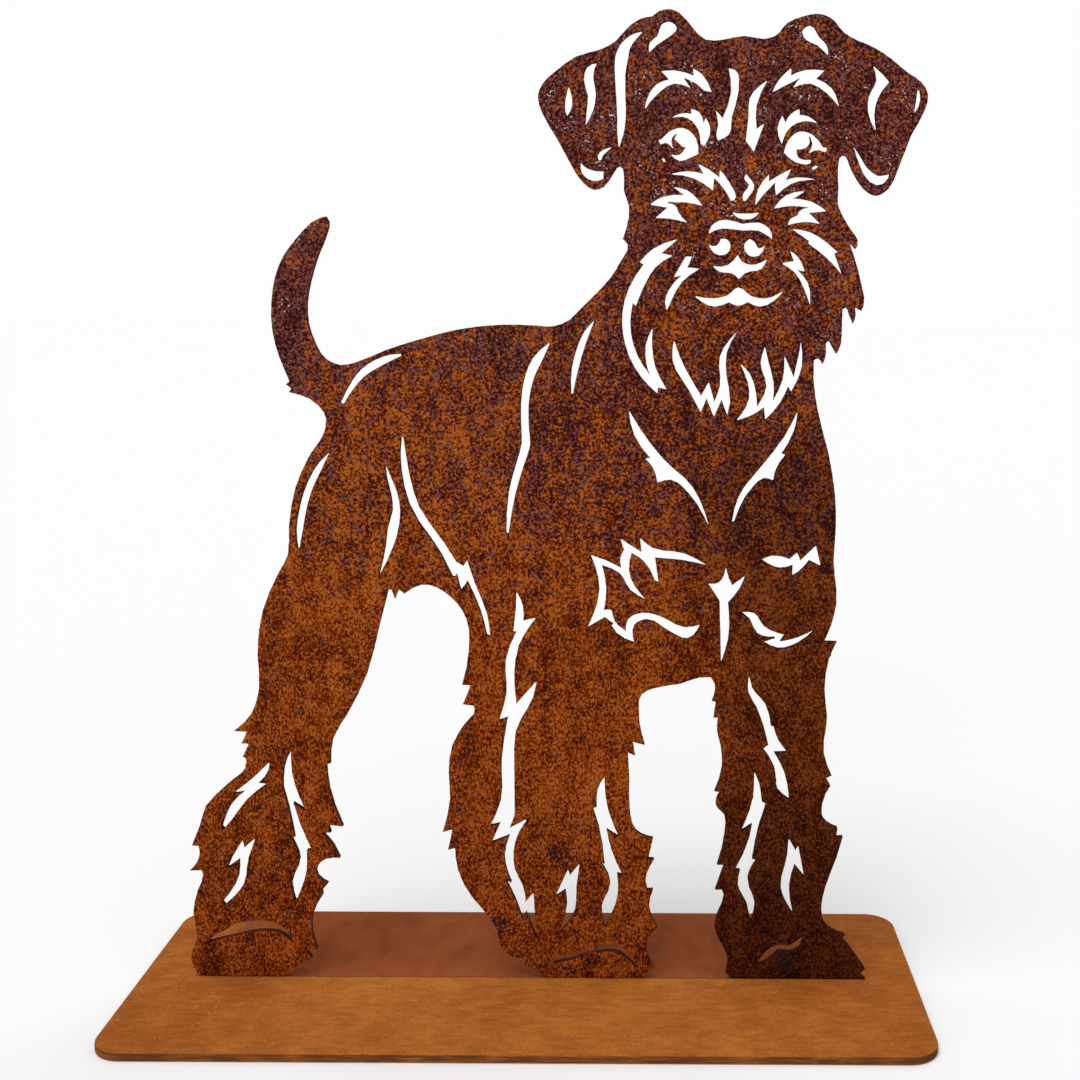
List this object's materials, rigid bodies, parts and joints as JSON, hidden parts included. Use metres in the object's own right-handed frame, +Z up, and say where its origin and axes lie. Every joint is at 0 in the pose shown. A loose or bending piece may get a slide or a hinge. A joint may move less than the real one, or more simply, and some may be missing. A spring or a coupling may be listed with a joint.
{
  "type": "metal dog garden statue",
  "caption": "Flat rusted steel dog cut-out with its face and fur cut right through, standing upright on a thin rectangular foot plate.",
  "frame": {"origin": "centre of the foot plate's underside, on the ground", "axes": "+Z up, the way the dog stands; +X along the plate's long side, from the dog's tail to its head; -Y out of the face that the head looks to, +Y out of the back of the sheet"},
  "size_m": [0.3086, 0.12, 0.3848],
  "materials": {
    "dog_rust": "uncoated mild steel sheet, rusted all over to a matt, coarse-grained dark red-brown with orange patches",
    "plate_rust": "uncoated mild steel sheet, rusted all over to a matt, fairly even orange-brown"
  },
  "bodies": {
    "root": {"dog_silhouette": "dog_rust", "base_plate": "plate_rust"}
  },
  "joints": []
}
